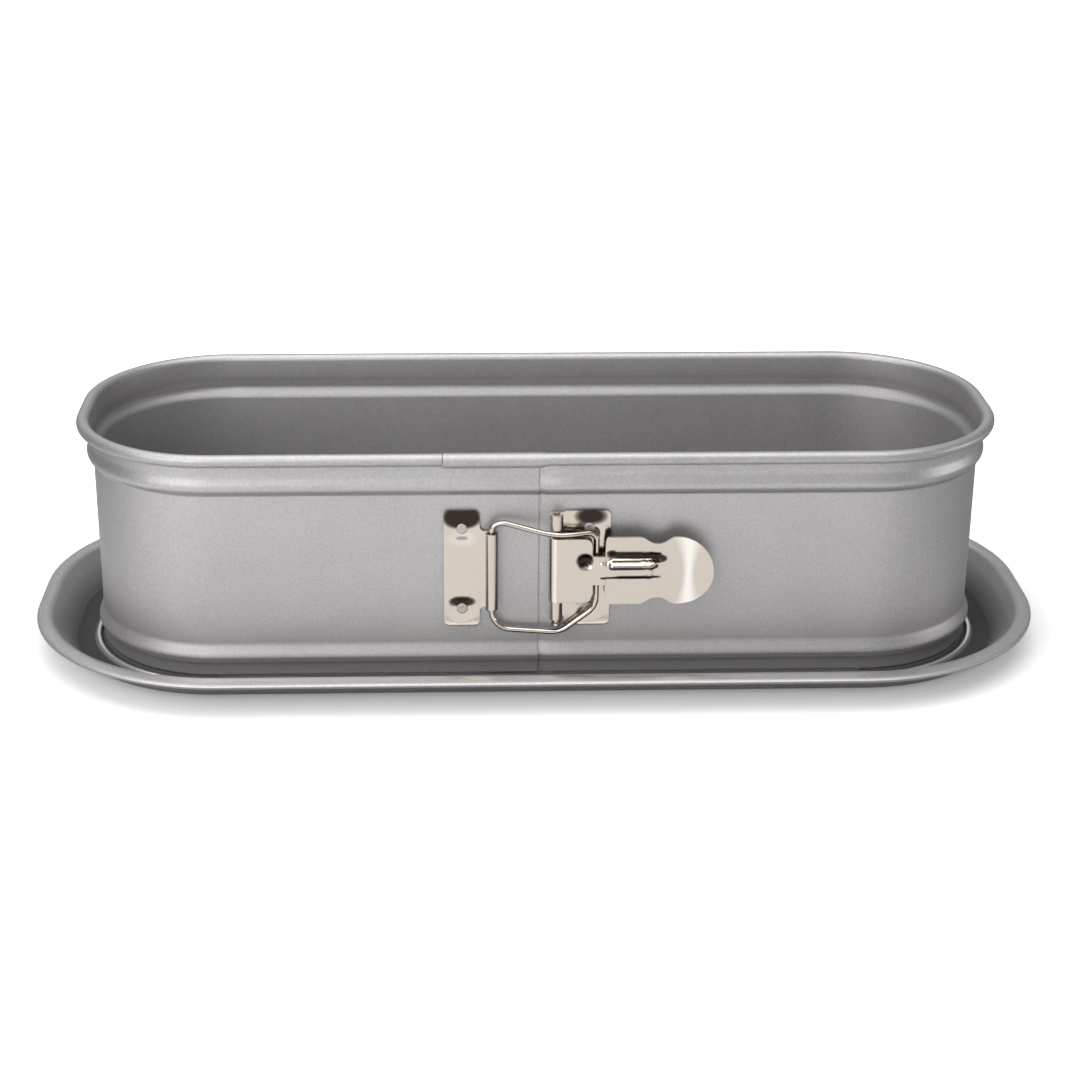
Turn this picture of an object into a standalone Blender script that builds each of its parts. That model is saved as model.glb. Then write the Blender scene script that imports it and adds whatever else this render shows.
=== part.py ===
# Springform loaf pan: a stamped base tray, a spring band with a rolled rim, and a wire over-centre latch.
# Metres, +Z up. The origin is on the ground under the middle of the base tray, and the latch faces -Y.

import math

import bmesh
import bpy

# Gap kept between pieces that touch
GAP = 0.00025

# Band: the outer face of its plain wall, seen from above
WALL_HALF_LENGTH = 0.1485
WALL_HALF_WIDTH = 0.0495
WALL_CORNER_RADIUS = 0.042
CORNER_STEPS = 8
BAND_SHEET = 0.0005

# Band: heights above the ground
SEAT_Z = 0.0022
LOWER_BEAD_Z = 0.0094
UPPER_BEAD_BELOW_RIM = 0.0099
RIM_Z = 0.0787

# Band: how far each feature stands out from the plain wall
SKIRT_OUT = 0.0002
LOWER_BEAD_OUT = 0.0017
UPPER_BEAD_OUT = 0.0021
COLLAR_OUT = 0.0013
RIM_RADIUS = 0.0021
RIM_STEPS = 12

# Band: the two ends overlap at the front
SEAM_X = -0.0013
RIM_OVERLAP = 0.0306
INNER_END_MARGIN = 0.0055
JOGGLE_LENGTH = 0.0033
BACK_CUT_X = 0.0

# Base tray
BASE_SHEET = 0.0008
PLATFORM_TOP_Z = 0.009
PLATFORM_INSET = 0.0016
PLATFORM_EDGE_RADIUS = 0.0015
RIDGE_OUT = 0.0029
GUTTER_IN = 0.0048
GUTTER_OUT = 0.0098
FLARE_OUT = 0.0184
LIP_OUT = 0.0222
LIP_SIDE_EXTRA = 0.005
LIP_Z = 0.0123
LIP_TURN = 0.0012

# Latch: height above the middle of the two beads, hinge line of the lever, and the linkage's two lengths
LATCH_RISE = 0.0012
PIN_X = 0.0045
LEVER_THROW = 0.013
BAIL_REACH = 0.0339
AXIS_OUT = 0.003
PIN_RADIUS = 0.001
WIRE_RADIUS = 0.0009
BORE_CLEARANCE = 0.0002

# Latch: riveted plates
PLATE_SHEET = 0.0009
PLATE_HALF = 0.0201
PLATE_CORNER = 0.0022
CATCH_WIDTH = 0.0116
CATCH_NECK = 0.0039
KNUCKLE_HALF = 0.0133
HINGE_WIDTH = 0.0148
HINGE_SETBACK = 0.0027
UPPER_EAR_INSET = 0.0005
LOWER_EAR_INSET = 0.0033
EAR_CLEARANCE = 0.0005
PIN_PROUD = 0.0003
PIN_CHAMFER = 0.0004
CURL_STEPS = 10

# Latch: rivets
RIVET_INSET = 0.0061
RIVET_HEAD_RADIUS = 0.0019
RIVET_SHANK_RADIUS = 0.0011
RIVET_HEAD_HEIGHT = 0.00045
RIVET_SIDES = 12
CATCH_RIVET_X = 0.0059
HINGE_RIVET_X = 0.008

# Latch: lever
LEVER_SHEET = 0.001
LEVER_OUT = 0.0059
LEVER_RISE = 0.0009
BLOCK_HALF = 0.0111
NECK_HALF = 0.0049
NOTCH_BEFORE = 0.0016
NOTCH_AFTER = 0.0028
NOTCH_ROUND = 0.0024
NOTCH_SLOPE = 0.0004
HANDLE_LENGTH = 0.0349
HANDLE_HALF = 0.0117
WAIST_DEPTH = 0.0023
WAIST_FROM_TIP = 0.018
WAIST_HALF = 0.0058
TIP_BEND_FROM_TIP = 0.0087
TIP_LIFT = 0.0018
RIB_HEIGHT = 0.0014
RIB_RISE = 0.0012
RIB_HALF = 0.0036
RIB_START = 0.0067
RIB_LENGTH = 0.0278
LEVER_ROLL_END = 0.0026

# Latch: bail wire
WIRE_CLEARANCE = 0.00035
WIRE_CORNER = 0.0032
BAIL_DROP = 0.002
KNUCKLE_LEAD = 0.0034
BAIL_RISE = 0.0007
OVER_PIN_FLAT = 0.0043
SEAT_BEND = 0.0017
LOWER_BEND_SHIFT = 0.0012
LOWER_BEND_RISE = 0.0015
SEAT_BELOW_BLOCK = 0.0026

# Colours: coated steel, nickel-plated steel, aluminium
COATED = ((0.32, 0.32, 0.325), 0.42, 0.75)
NICKEL = ((0.72, 0.68, 0.62), 0.14, 1.0)
ALUMINIUM = ((0.66, 0.66, 0.65), 0.4, 1.0)


# Places that follow from the sizes above

skirt_bottom = SEAT_Z + GAP
nest_shift = BAND_SHEET + GAP
front_y = -WALL_HALF_WIDTH
upper_bead_z = RIM_Z - UPPER_BEAD_BELOW_RIM
latch_z = 0.5 * (LOWER_BEAD_Z + upper_bead_z) + LATCH_RISE
catch_x = PIN_X + LEVER_THROW - BAIL_REACH
seat_x = PIN_X + LEVER_THROW
rim_centre_out = COLLAR_OUT - BAND_SHEET + RIM_RADIUS
upper_ear_start = LEVER_RISE + BLOCK_HALF + 2 * (WIRE_RADIUS + WIRE_CLEARANCE)
lower_ear_start = LEVER_RISE - BLOCK_HALF - EAR_CLEARANCE
upper_ear_end = PLATE_HALF - UPPER_EAR_INSET
lower_ear_end = -PLATE_HALF + LOWER_EAR_INSET
pin_half = upper_ear_end + PIN_PROUD
plate_face = GAP + PLATE_SHEET
rivet_half = PLATE_HALF - RIVET_INSET
pin_bore = PIN_RADIUS + BORE_CLEARANCE
wire_bore = WIRE_RADIUS + BORE_CLEARANCE
catch_plate_right = catch_x - CATCH_NECK
catch_plate_left = catch_plate_right - CATCH_WIDTH
catch_rivet = catch_plate_left + CATCH_RIVET_X
hinge_plate_left = PIN_X + HINGE_SETBACK
hinge_plate_right = hinge_plate_left + HINGE_WIDTH
hinge_rivet = hinge_plate_left + HINGE_RIVET_X
rim_overlap_end = SEAM_X - RIM_OVERLAP
inner_wall_end = catch_rivet + RIVET_HEAD_RADIUS + INNER_END_MARGIN
notch_start = LEVER_THROW - NOTCH_BEFORE
notch_end = LEVER_THROW + NOTCH_AFTER
lever_length = notch_end + HANDLE_LENGTH
waist = lever_length - WAIST_FROM_TIP
tip_bend = lever_length - TIP_BEND_FROM_TIP


def clear_scene():
    for item in list(bpy.data.objects):
        bpy.data.objects.remove(item, do_unlink=True)


def material(name, look):
    colour, roughness, metallic = look
    made = bpy.data.materials.new(name)
    made.use_nodes = True
    shader = made.node_tree.nodes["Principled BSDF"]
    shader.inputs["Base Color"].default_value = (*colour, 1.0)
    shader.inputs["Roughness"].default_value = roughness
    shader.inputs["Metallic"].default_value = metallic
    return made


def empty(name, place, parent=None):
    made = bpy.data.objects.new(name, None)
    bpy.context.collection.objects.link(made)
    made.location = place
    made.empty_display_size = 0.01
    if parent:
        made.parent = parent
        made.location = [a - b for a, b in zip(place, world_place(parent))]
    return made


def world_place(item):
    total = [0.0, 0.0, 0.0]
    while item:
        total = [a + b for a, b in zip(total, item.location)]
        item = item.parent
    return total


def add_object(name, bm, look, parent, smooth_degrees=38):
    """Put a mesh drawn in world places on an object whose origin is its parent's."""
    origin = world_place(parent)
    bmesh.ops.translate(bm, verts=bm.verts, vec=[-c for c in origin])
    mesh = bpy.data.meshes.new(name)
    bm.to_mesh(mesh)
    bm.free()
    mesh.shade_smooth()
    mesh.set_sharp_from_angle(angle=math.radians(smooth_degrees))
    made = bpy.data.objects.new(name, mesh)
    bpy.context.collection.objects.link(made)
    made.parent = parent
    mesh.materials.append(material(name + "_finish", look))
    return made


def thicken(item, sheet):
    """Give a drawn face its sheet thickness, on the side away from its normals."""
    solid = item.modifiers.new("sheet", "SOLIDIFY")
    solid.thickness = sheet
    solid.offset = -1.0
    solid.use_even_offset = True
    solid.use_quality_normals = True
    solid.use_rim = True


def grid(bm, rows, closed=False, skip=None, flip=False):
    """Join rows of points into faces. skip(row, column) leaves a face out."""
    made = [[bm.verts.new(p) for p in row] for row in rows]
    count = len(rows[0])
    for i in range(len(made) - 1):
        for j in range(count if closed else count - 1):
            if skip and skip(i, j):
                continue
            k = (j + 1) % count
            corners = [made[i][j], made[i][k], made[i + 1][k], made[i + 1][j]]
            bm.faces.new(corners[::-1] if flip else corners)
    loose = [v for v in bm.verts if not v.link_faces]
    bmesh.ops.delete(bm, geom=loose, context="VERTS")
    return made


def arc(centre, radius, start, stop, steps):
    """Points on an arc, in degrees."""
    angles = [math.radians(start + (stop - start) * i / steps) for i in range(steps + 1)]
    return [(centre[0] + radius * math.cos(a), centre[1] + radius * math.sin(a)) for a in angles]


def rounded_outline(half_length, half_width, radius):
    """A closed rounded rectangle, anticlockwise from the +X side."""
    radius = min(radius, half_width - GAP, half_length - GAP)
    inner_x = half_length - radius
    inner_y = half_width - radius
    corners = [(inner_x, inner_y, 0), (-inner_x, inner_y, 90), (-inner_x, -inner_y, 180), (inner_x, -inner_y, 270)]
    points = []
    for x, y, start in corners:
        points += arc((x, y), radius, start, start + 90, CORNER_STEPS)
    return points


def offset_line(points, distance):
    """Move an open line to its left by a distance, keeping its corners mitred."""
    normals = []
    for (x0, y0), (x1, y1) in zip(points, points[1:]):
        length = math.hypot(x1 - x0, y1 - y0)
        normals.append(((y0 - y1) / length, (x1 - x0) / length))
    moved = []
    for i, (x, y) in enumerate(points):
        before = normals[max(i - 1, 0)]
        after = normals[min(i, len(normals) - 1)]
        sum_x, sum_y = before[0] + after[0], before[1] + after[1]
        scale = 2.0 / (sum_x ** 2 + sum_y ** 2)
        moved.append((x + sum_x * scale * distance, y + sum_y * scale * distance))
    return moved


# Band section, drawn on its outer face as (distance out from the plain wall, height)

def wall_line():
    low, high = LOWER_BEAD_Z, upper_bead_z
    return [
        (SKIRT_OUT, skirt_bottom),
        (SKIRT_OUT, low - 0.0025),
        (0.82 * LOWER_BEAD_OUT, low - 0.0008),
        (LOWER_BEAD_OUT, low),
        (0.88 * LOWER_BEAD_OUT, low + 0.0009),
        (0.4 * LOWER_BEAD_OUT, low + 0.0026),
        (0.0, low + 0.0042),
        (0.0, high - 0.0028),
        (0.24 * UPPER_BEAD_OUT, high - 0.0025),
        (0.82 * UPPER_BEAD_OUT, high - 0.0014),
        (UPPER_BEAD_OUT, high - 0.0002),
        (UPPER_BEAD_OUT, high + 0.0008),
        (0.5 * (UPPER_BEAD_OUT + COLLAR_OUT), high + 0.0022),
        (COLLAR_OUT, high + 0.0036),
    ]


WALL_POINTS = len(wall_line())


def band_section(nested):
    """The band's inner face. nested goes from 0, plain, to 1, tucked behind the other end's sheet."""
    line = offset_line(wall_line() + [(COLLAR_OUT, RIM_Z)], BAND_SHEET + nested * nest_shift)
    grow = 0.5 * nested * nest_shift
    curl = arc((rim_centre_out - grow, RIM_Z - grow), RIM_RADIUS + grow, 180, -100, RIM_STEPS)
    return line[:WALL_POINTS] + curl


def band_column(x, y, out_x, out_y, section):
    return [(x + out_x * d, y + out_y * d, z) for d, z in section]


def half_round_path(side):
    """Corner points of one end of the wall, from back to front, with their outward directions."""
    radius = min(WALL_CORNER_RADIUS, WALL_HALF_WIDTH - GAP)
    inner_x = WALL_HALF_LENGTH - radius
    inner_y = WALL_HALF_WIDTH - radius
    path = []
    for start, sign in ((90, 1), (0, -1)):
        for i in range(CORNER_STEPS + 1):
            a = math.radians(start - 90 * i / CORNER_STEPS)
            out = (math.cos(a), math.sin(a))
            path.append((side * (inner_x + radius * out[0]), sign * inner_y + radius * out[1], side * out[0], out[1]))
    return path


def band_half(name, side, parent):
    """One half of the band. side is 1 for the half with the inner end, -1 for the half with the outer end."""
    plain = band_section(0.0)
    path = [(BACK_CUT_X + side * GAP / 2, WALL_HALF_WIDTH, 0.0, 1.0)] + half_round_path(side)
    columns = [band_column(x, y, ox, oy, plain) for x, y, ox, oy in path]
    if side > 0:
        ends = [(SEAM_X + JOGGLE_LENGTH, 0.0), (SEAM_X + GAP, 1.0), (inner_wall_end, 1.0), (rim_overlap_end, 1.0)]
        columns += [band_column(x, front_y, 0.0, -1.0, band_section(n)) for x, n in ends]
        cut_from = len(columns) - 2

        def skip(i, j):
            return i >= cut_from and j < WALL_POINTS - 1
    else:
        for x in (rim_overlap_end - GAP, SEAM_X):
            columns.append(band_column(x, front_y, 0.0, -1.0, plain))
        cut_from = len(columns) - 2

        def skip(i, j):
            return i >= cut_from and j >= WALL_POINTS
    bm = bmesh.new()
    grid(bm, columns, skip=skip, flip=side > 0)
    made = add_object(name, bm, COATED, parent)
    thicken(made, BAND_SHEET)
    return made


def base_tray(parent):
    """The base: a raised platform, the seat for the band, a low ridge, a gutter and a flared lip."""
    ledge = PLATFORM_TOP_Z - PLATFORM_EDGE_RADIUS
    section = [
        (-PLATFORM_INSET - PLATFORM_EDGE_RADIUS, PLATFORM_TOP_Z),
        (-PLATFORM_INSET - 0.3 * PLATFORM_EDGE_RADIUS, PLATFORM_TOP_Z - 0.3 * PLATFORM_EDGE_RADIUS),
        (-PLATFORM_INSET, ledge),
        (-PLATFORM_INSET, SEAT_Z + 0.0006),
        (-PLATFORM_INSET + 0.0006, SEAT_Z),
        (SKIRT_OUT + 0.0008, SEAT_Z),
        (SKIRT_OUT + 0.0011, SEAT_Z - 0.0004),
        (RIDGE_OUT - 0.0012, SEAT_Z - 0.0004),
        (RIDGE_OUT - 0.0006, SEAT_Z),
        (RIDGE_OUT + 0.0004, SEAT_Z),
        (GUTTER_IN, BASE_SHEET),
        (GUTTER_OUT, BASE_SHEET),
        (GUTTER_OUT + 0.0012, BASE_SHEET + 0.0005),
        (FLARE_OUT - 0.0008, LIP_Z - 0.0008),
        (FLARE_OUT + 0.0004, LIP_Z - 0.0002),
        (LIP_OUT - 0.0004, LIP_Z),
        (LIP_OUT, LIP_Z - 0.0004),
        (LIP_OUT, LIP_Z - LIP_TURN),
    ]
    rows = []
    for out, z in section:
        side_out = out + LIP_SIDE_EXTRA * max(out - GUTTER_OUT, 0) / (LIP_OUT - GUTTER_OUT)
        loop = rounded_outline(WALL_HALF_LENGTH + out, WALL_HALF_WIDTH + side_out,
                               WALL_CORNER_RADIUS + 0.5 * (out + side_out))
        rows.append([(x, y, z) for x, y in loop])
    bm = bmesh.new()
    made = grid(bm, rows, closed=True, flip=True)
    bm.faces.new(made[0])
    tray = add_object("base_tray", bm, COATED, parent, 50)
    thicken(tray, BASE_SHEET)
    return tray


def out_from_wall(x, out, z):
    """A place on the latch: along the wall, out from its face, and above the latch's middle."""
    return (x, front_y - out, latch_z + z)


def knuckle(centre_x, radius, start, stop):
    return arc((centre_x, AXIS_OUT), radius, start, stop, CURL_STEPS)


def round_corners(bm, places, width):
    """Round the corners of a flat sheet that lie at these places."""
    picked = [v for v in bm.verts if any((v.co - place).length < GAP for place in places)]
    bmesh.ops.bevel(bm, geom=picked, offset=width, segments=3, profile=0.5, affect="VERTICES")


def catch_plate(parent):
    """The plate riveted near the outer end. Its tongue curls over the wire."""
    line = [(catch_plate_left, plate_face), (catch_plate_right, plate_face)]
    line += [(catch_x - 0.0022, plate_face + 0.0002), (catch_x - 0.0008, AXIS_OUT - wire_bore)]
    line += knuckle(catch_x, wire_bore, -90, 190)
    levels = [-PLATE_HALF, -KNUCKLE_HALF, KNUCKLE_HALF, PLATE_HALF]
    rows = [[out_from_wall(x, u, z) for z in levels] for x, u in line]
    bm = bmesh.new()
    made = grid(bm, rows, skip=lambda i, j: i >= 1 and j != 1, flip=True)
    corners = [made[i][j].co.copy() for i in (0, 1) for j in (0, 3)]
    round_corners(bm, corners, PLATE_CORNER)
    plate = add_object("catch_plate", bm, NICKEL, parent)
    thicken(plate, PLATE_SHEET)
    return plate


def hinge_plate(parent):
    """The plate that carries the lever. Its two ears curl over the pin."""
    line = knuckle(PIN_X, pin_bore, 10, 270)
    line += [(PIN_X + 0.0008, AXIS_OUT - pin_bore), (hinge_plate_left - 0.0003, plate_face)]
    line += [(hinge_plate_left, plate_face), (hinge_plate_right, plate_face)]
    levels = [-PLATE_HALF, lower_ear_end, lower_ear_start, upper_ear_start, upper_ear_end, PLATE_HALF]
    last = len(line) - 1
    rows = [[out_from_wall(x, u, z) for z in levels] for x, u in line]
    bm = bmesh.new()
    made = grid(bm, rows, skip=lambda i, j: i < last - 1 and j not in (1, 3), flip=True)
    corners = [made[i][j].co.copy() for i in (last - 1, last) for j in (0, 5)]
    round_corners(bm, corners, PLATE_CORNER * 0.7)
    plate = add_object("hinge_plate", bm, NICKEL, parent)
    thicken(plate, PLATE_SHEET)
    return plate


def turned(profile, centre, sides):
    """A solid turned about the line that runs out from the wall. The profile is (radius, out)."""
    bm = bmesh.new()
    rows = []
    for radius, out in profile:
        ring = [math.tau * i / sides for i in range(sides)]
        rows.append([out_from_wall(centre[0] + radius * math.cos(a), out, centre[1] + radius * math.sin(a))
                     for a in ring])
    made = grid(bm, rows, closed=True)
    bm.faces.new(made[0][::-1])
    bm.faces.new(made[-1])
    bmesh.ops.recalc_face_normals(bm, faces=bm.faces)
    return bm


def rivet(name, x, z, parent):
    """A rivet with a low round head outside and a flat tail inside."""
    head = RIVET_HEAD_RADIUS
    shank = RIVET_SHANK_RADIUS
    under = plate_face + GAP
    tail = -BAND_SHEET - GAP
    profile = [
        (0.9 * head, tail - RIVET_HEAD_HEIGHT),
        (head, tail - 0.6 * RIVET_HEAD_HEIGHT),
        (head, tail),
        (shank, tail),
        (shank, under),
        (head, under),
        (head, under + 0.5 * RIVET_HEAD_HEIGHT),
        (0.72 * head, under + RIVET_HEAD_HEIGHT),
    ]
    return add_object(name, turned(profile, (x, z), RIVET_SIDES), ALUMINIUM, parent)


def rivet_hole(name, x, z, parent, pieces):
    """Cut a rivet's hole through its plate and the band."""
    radius = RIVET_SHANK_RADIUS + GAP
    depth = plate_face + AXIS_OUT
    cutter = add_object(name, turned([(radius, -depth), (radius, depth)], (x, z), RIVET_SIDES), ALUMINIUM, parent)
    cutter.hide_render = True
    cutter.display_type = "WIRE"
    for piece in pieces:
        cut = piece.modifiers.new(name, "BOOLEAN")
        cut.operation = "DIFFERENCE"
        cut.object = cutter


def pivot_pin(parent):
    """The pin through the ears and the rolled edge of the lever, with slightly domed ends."""
    end = PIN_RADIUS - PIN_CHAMFER
    full = pin_half - PIN_CHAMFER
    bm = bmesh.new()
    rows = []
    for radius, z in ((end, -pin_half), (PIN_RADIUS, -full), (PIN_RADIUS, full), (end, pin_half)):
        ring = arc((PIN_X, AXIS_OUT), radius, 0, 360, 12)[:-1]
        rows.append([out_from_wall(x, u, z) for x, u in ring])
    made = grid(bm, rows, closed=True)
    bm.faces.new(made[0][::-1])
    bm.faces.new(made[-1])
    bmesh.ops.recalc_face_normals(bm, faces=bm.faces)
    return add_object("pivot_pin", bm, NICKEL, parent)


def lever_half_height(x):
    """Half height of the lever's outline at a distance from the hinge line."""
    into_corner = x - (notch_start - NOTCH_ROUND)
    if x <= notch_start:
        return BLOCK_HALF - NOTCH_ROUND + math.sqrt(max(NOTCH_ROUND ** 2 - max(into_corner, 0) ** 2, 0))
    if x < notch_start + NOTCH_SLOPE:
        shoulder = BLOCK_HALF - NOTCH_ROUND
        return shoulder + (NECK_HALF - shoulder) * (x - notch_start) / NOTCH_SLOPE
    if x <= notch_end - NOTCH_SLOPE:
        return NECK_HALF
    if x < notch_end:
        return HANDLE_HALF + (NECK_HALF - HANDLE_HALF) * (notch_end - x) / NOTCH_SLOPE
    half = HANDLE_HALF
    from_waist = abs(x - waist) / WAIST_HALF
    if from_waist < 1:
        half -= WAIST_DEPTH * 0.5 * (1 + math.cos(math.pi * from_waist))
    into_end = x - (lever_length - HANDLE_HALF)
    if into_end > 0:
        half = min(half, math.sqrt(max(HANDLE_HALF ** 2 - into_end ** 2, 0)))
    return half


def rib_lift(x, z):
    """Height of the pressed rib above the lever's face."""
    start = PIN_X + RIB_START + RIB_HALF
    stop = PIN_X + RIB_START + RIB_LENGTH - RIB_HALF
    away = math.hypot(max(start - x, x - stop, 0), z - RIB_RISE) / RIB_HALF
    return RIB_HEIGHT * 0.5 * (1 + math.cos(math.pi * min(away, 1)))


def lever(parent):
    """The lever: rolled round the pin, cut in to a neck where the wire seats, then a shaped handle."""
    line = [(x, u, BLOCK_HALF) for x, u in knuckle(PIN_X, pin_bore + LEVER_SHEET, -30, -270)]
    distances = [LEVER_ROLL_END, RIB_START, RIB_START + 0.4 * RIB_HALF, RIB_START + RIB_HALF]
    distances += [notch_start - NOTCH_ROUND * share for share in (1.0, 0.5, 0.13, 0.0)]
    distances += [notch_start + NOTCH_SLOPE, notch_end - NOTCH_SLOPE, notch_end]
    distances += [waist - WAIST_HALF, waist - 0.5 * WAIST_HALF, waist, waist + 0.5 * WAIST_HALF, waist + WAIST_HALF]
    rib_end = RIB_START + RIB_LENGTH
    distances += [0.5 * (notch_end + waist - WAIST_HALF), rib_end - RIB_HALF, rib_end - 0.4 * RIB_HALF, rib_end]
    distances += [tip_bend]
    distances += [lever_length - HANDLE_HALF * (1 - math.sin(math.radians(a))) for a in (12, 30, 45, 58, 70, 80)]
    for s in sorted(set(distances)):
        past_bend = max(s - tip_bend, 0) / TIP_BEND_FROM_TIP
        line.append((PIN_X + s, LEVER_OUT + TIP_LIFT * past_bend, lever_half_height(s)))
    shares = [-1.0] + [RIB_RISE + share * RIB_HALF for share in (-1.0, -0.5, 0.0, 0.5, 1.0)] + [1.0]
    rows = []
    for i, (x, u, half) in enumerate(line):
        inner = min(1.0, half / NECK_HALF)
        levels = [v * half if abs(v) == 1.0 else v * inner for v in shares]
        lifted = i > CURL_STEPS
        rows.append([out_from_wall(x, u + (rib_lift(x, z) if lifted else 0.0), LEVER_RISE + z) for z in levels])
    bm = bmesh.new()
    grid(bm, rows, flip=True)
    made = add_object("lever", bm, NICKEL, parent)
    thicken(made, LEVER_SHEET)
    return made


def rounded_loop(points, width, steps):
    """A closed route with each corner replaced by a smooth bend."""
    route = []
    count = len(points)
    for i in range(count):
        before, here, after = points[i - 1], points[i], points[(i + 1) % count]
        cut = min(width, 0.45 * math.dist(here, before), 0.45 * math.dist(here, after))
        ends = []
        for other in (before, after):
            share = cut / math.dist(here, other)
            ends.append([h + (o - h) * share for h, o in zip(here, other)])
        for k in range(steps + 1):
            t = k / steps
            route.append([(1 - t) ** 2 * a + 2 * t * (1 - t) * h + t * t * b
                          for a, h, b in zip(ends[0], here, ends[1])])
    return route


def bail_wire(parent):
    """The wire: through the catch's knuckle, over the pin, behind the lever's neck and back under the ears."""
    top = LEVER_RISE + BLOCK_HALF + WIRE_CLEARANCE + WIRE_RADIUS
    bottom = -pin_half - BAIL_DROP
    over_pin = AXIS_OUT + PIN_RADIUS + WIRE_RADIUS + WIRE_CLEARANCE
    beside_pin = over_pin - 0.5 * WIRE_CLEARANCE
    points = [
        (catch_x, AXIS_OUT, -KNUCKLE_HALF - KNUCKLE_LEAD),
        (catch_x, AXIS_OUT, KNUCKLE_HALF + 0.7 * KNUCKLE_LEAD),
        (catch_x + KNUCKLE_LEAD, AXIS_OUT, KNUCKLE_HALF + 1.1 * KNUCKLE_LEAD),
        (PIN_X - OVER_PIN_FLAT, beside_pin, top + BAIL_RISE),
        (PIN_X, over_pin, top),
        (PIN_X + OVER_PIN_FLAT, beside_pin, top),
        (seat_x - SEAT_BEND, AXIS_OUT, top),
        (seat_x, AXIS_OUT, top - SEAT_BEND),
        (seat_x, AXIS_OUT, LEVER_RISE - BLOCK_HALF - SEAT_BELOW_BLOCK),
        (PIN_X + LOWER_BEND_SHIFT, AXIS_OUT, bottom),
        (catch_x + KNUCKLE_LEAD, AXIS_OUT, bottom + LOWER_BEND_RISE),
    ]
    curve = bpy.data.curves.new("bail_wire", "CURVE")
    curve.dimensions = "3D"
    curve.bevel_depth = WIRE_RADIUS
    curve.bevel_resolution = 1
    curve.use_fill_caps = True
    route = rounded_loop(points, WIRE_CORNER, 3)
    spline = curve.splines.new("POLY")
    spline.points.add(len(route) - 1)
    origin = world_place(parent)
    for point, (x, out, z) in zip(spline.points, route):
        place = out_from_wall(x, out, z)
        point.co = (*[a - b for a, b in zip(place, origin)], 1.0)
    spline.use_cyclic_u = True
    made = bpy.data.objects.new("bail_wire", curve)
    bpy.context.collection.objects.link(made)
    made.parent = parent
    curve.materials.append(material("bail_wire_finish", NICKEL))
    return made


def linkage():
    """How far the wire turns and the outer end slides when the lever stands square to the wall."""
    turn = math.asin(LEVER_THROW / BAIL_REACH)
    slide = LEVER_THROW - BAIL_REACH * (1 - math.cos(turn))
    return math.degrees(turn), slide


def build():
    clear_scene()
    base = empty("base_frame", (0.0, 0.0, 0.0))
    right = empty("ring_right_lift", (0.0, 0.0, 0.0), base)
    left = empty("ring_left_slide", (SEAM_X, front_y, latch_z), right)
    lever_axis = empty("lever_axis", out_from_wall(PIN_X, AXIS_OUT, 0.0), right)
    bail_axis = empty("bail_axis", out_from_wall(catch_x, AXIS_OUT, 0.0), left)

    base_tray(base)
    band_right = band_half("band_right", 1, right)
    band_left = band_half("band_left", -1, left)
    catch = catch_plate(left)
    hinge = hinge_plate(right)
    for word, z in (("upper", rivet_half), ("lower", -rivet_half)):
        rivet(f"catch_rivet_{word}", catch_rivet, z, left)
        rivet(f"hinge_rivet_{word}", hinge_rivet, z, right)
        rivet_hole(f"catch_hole_{word}", catch_rivet, z, left, (catch, band_left))
        rivet_hole(f"hinge_hole_{word}", hinge_rivet, z, right, (hinge, band_right))
    pivot_pin(right)
    lever(lever_axis)
    bail_wire(bail_axis)
    turn, slide = linkage()
    print(f"bail turns {turn:.4f} degrees and the outer end slides {slide * 1000:.4f} mm")
    print(f"pin axis {PIN_X:.4f} {front_y - AXIS_OUT:.4f}, catch axis {catch_x:.4f} {front_y - AXIS_OUT:.4f}")


build()
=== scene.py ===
import math

import bmesh
import bpy
from mathutils import Matrix, Vector


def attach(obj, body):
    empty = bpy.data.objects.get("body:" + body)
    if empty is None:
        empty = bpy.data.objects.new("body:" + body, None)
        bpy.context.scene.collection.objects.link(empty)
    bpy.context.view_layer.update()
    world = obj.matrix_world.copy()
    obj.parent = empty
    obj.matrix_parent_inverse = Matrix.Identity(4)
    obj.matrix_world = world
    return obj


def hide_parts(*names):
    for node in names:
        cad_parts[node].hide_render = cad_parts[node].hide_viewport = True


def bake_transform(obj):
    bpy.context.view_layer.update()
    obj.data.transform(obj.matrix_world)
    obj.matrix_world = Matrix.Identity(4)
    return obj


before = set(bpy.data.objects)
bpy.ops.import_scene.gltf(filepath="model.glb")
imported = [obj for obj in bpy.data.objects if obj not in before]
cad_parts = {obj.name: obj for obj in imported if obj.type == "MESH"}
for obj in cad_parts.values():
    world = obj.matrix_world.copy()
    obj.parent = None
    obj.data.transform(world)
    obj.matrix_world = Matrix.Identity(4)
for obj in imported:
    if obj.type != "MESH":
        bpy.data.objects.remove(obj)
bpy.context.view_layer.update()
mm = 0.001
touch = 0.01 * mm  # how near counts as there
weld = 0.002 * mm  # points nearer than this are merged
sharpEdge = 55  # degrees, past which an edge is rounded
print("frame loaded")


# Modelling helpers. Places are in metres, in the frame's own axes.

def nothingSelected():
    if bpy.context.mode != "OBJECT":
        bpy.ops.object.mode_set(mode="OBJECT")
    bpy.ops.object.select_all(action="DESELECT")


def editVerts():
    bpy.ops.object.mode_set(mode="EDIT")
    bpy.ops.mesh.select_mode(type="VERT")


def selectVerts(test):  # the test takes a vertex's place
    piece = bpy.context.object
    bpy.ops.mesh.select_all(action="DESELECT")
    mesh = bmesh.from_edit_mesh(piece.data)
    for vert in mesh.verts:
        if test(piece.matrix_world @ vert.co):
            vert.select_set(True)
    mesh.select_flush(True)
    bmesh.update_edit_mesh(piece.data)


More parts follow.
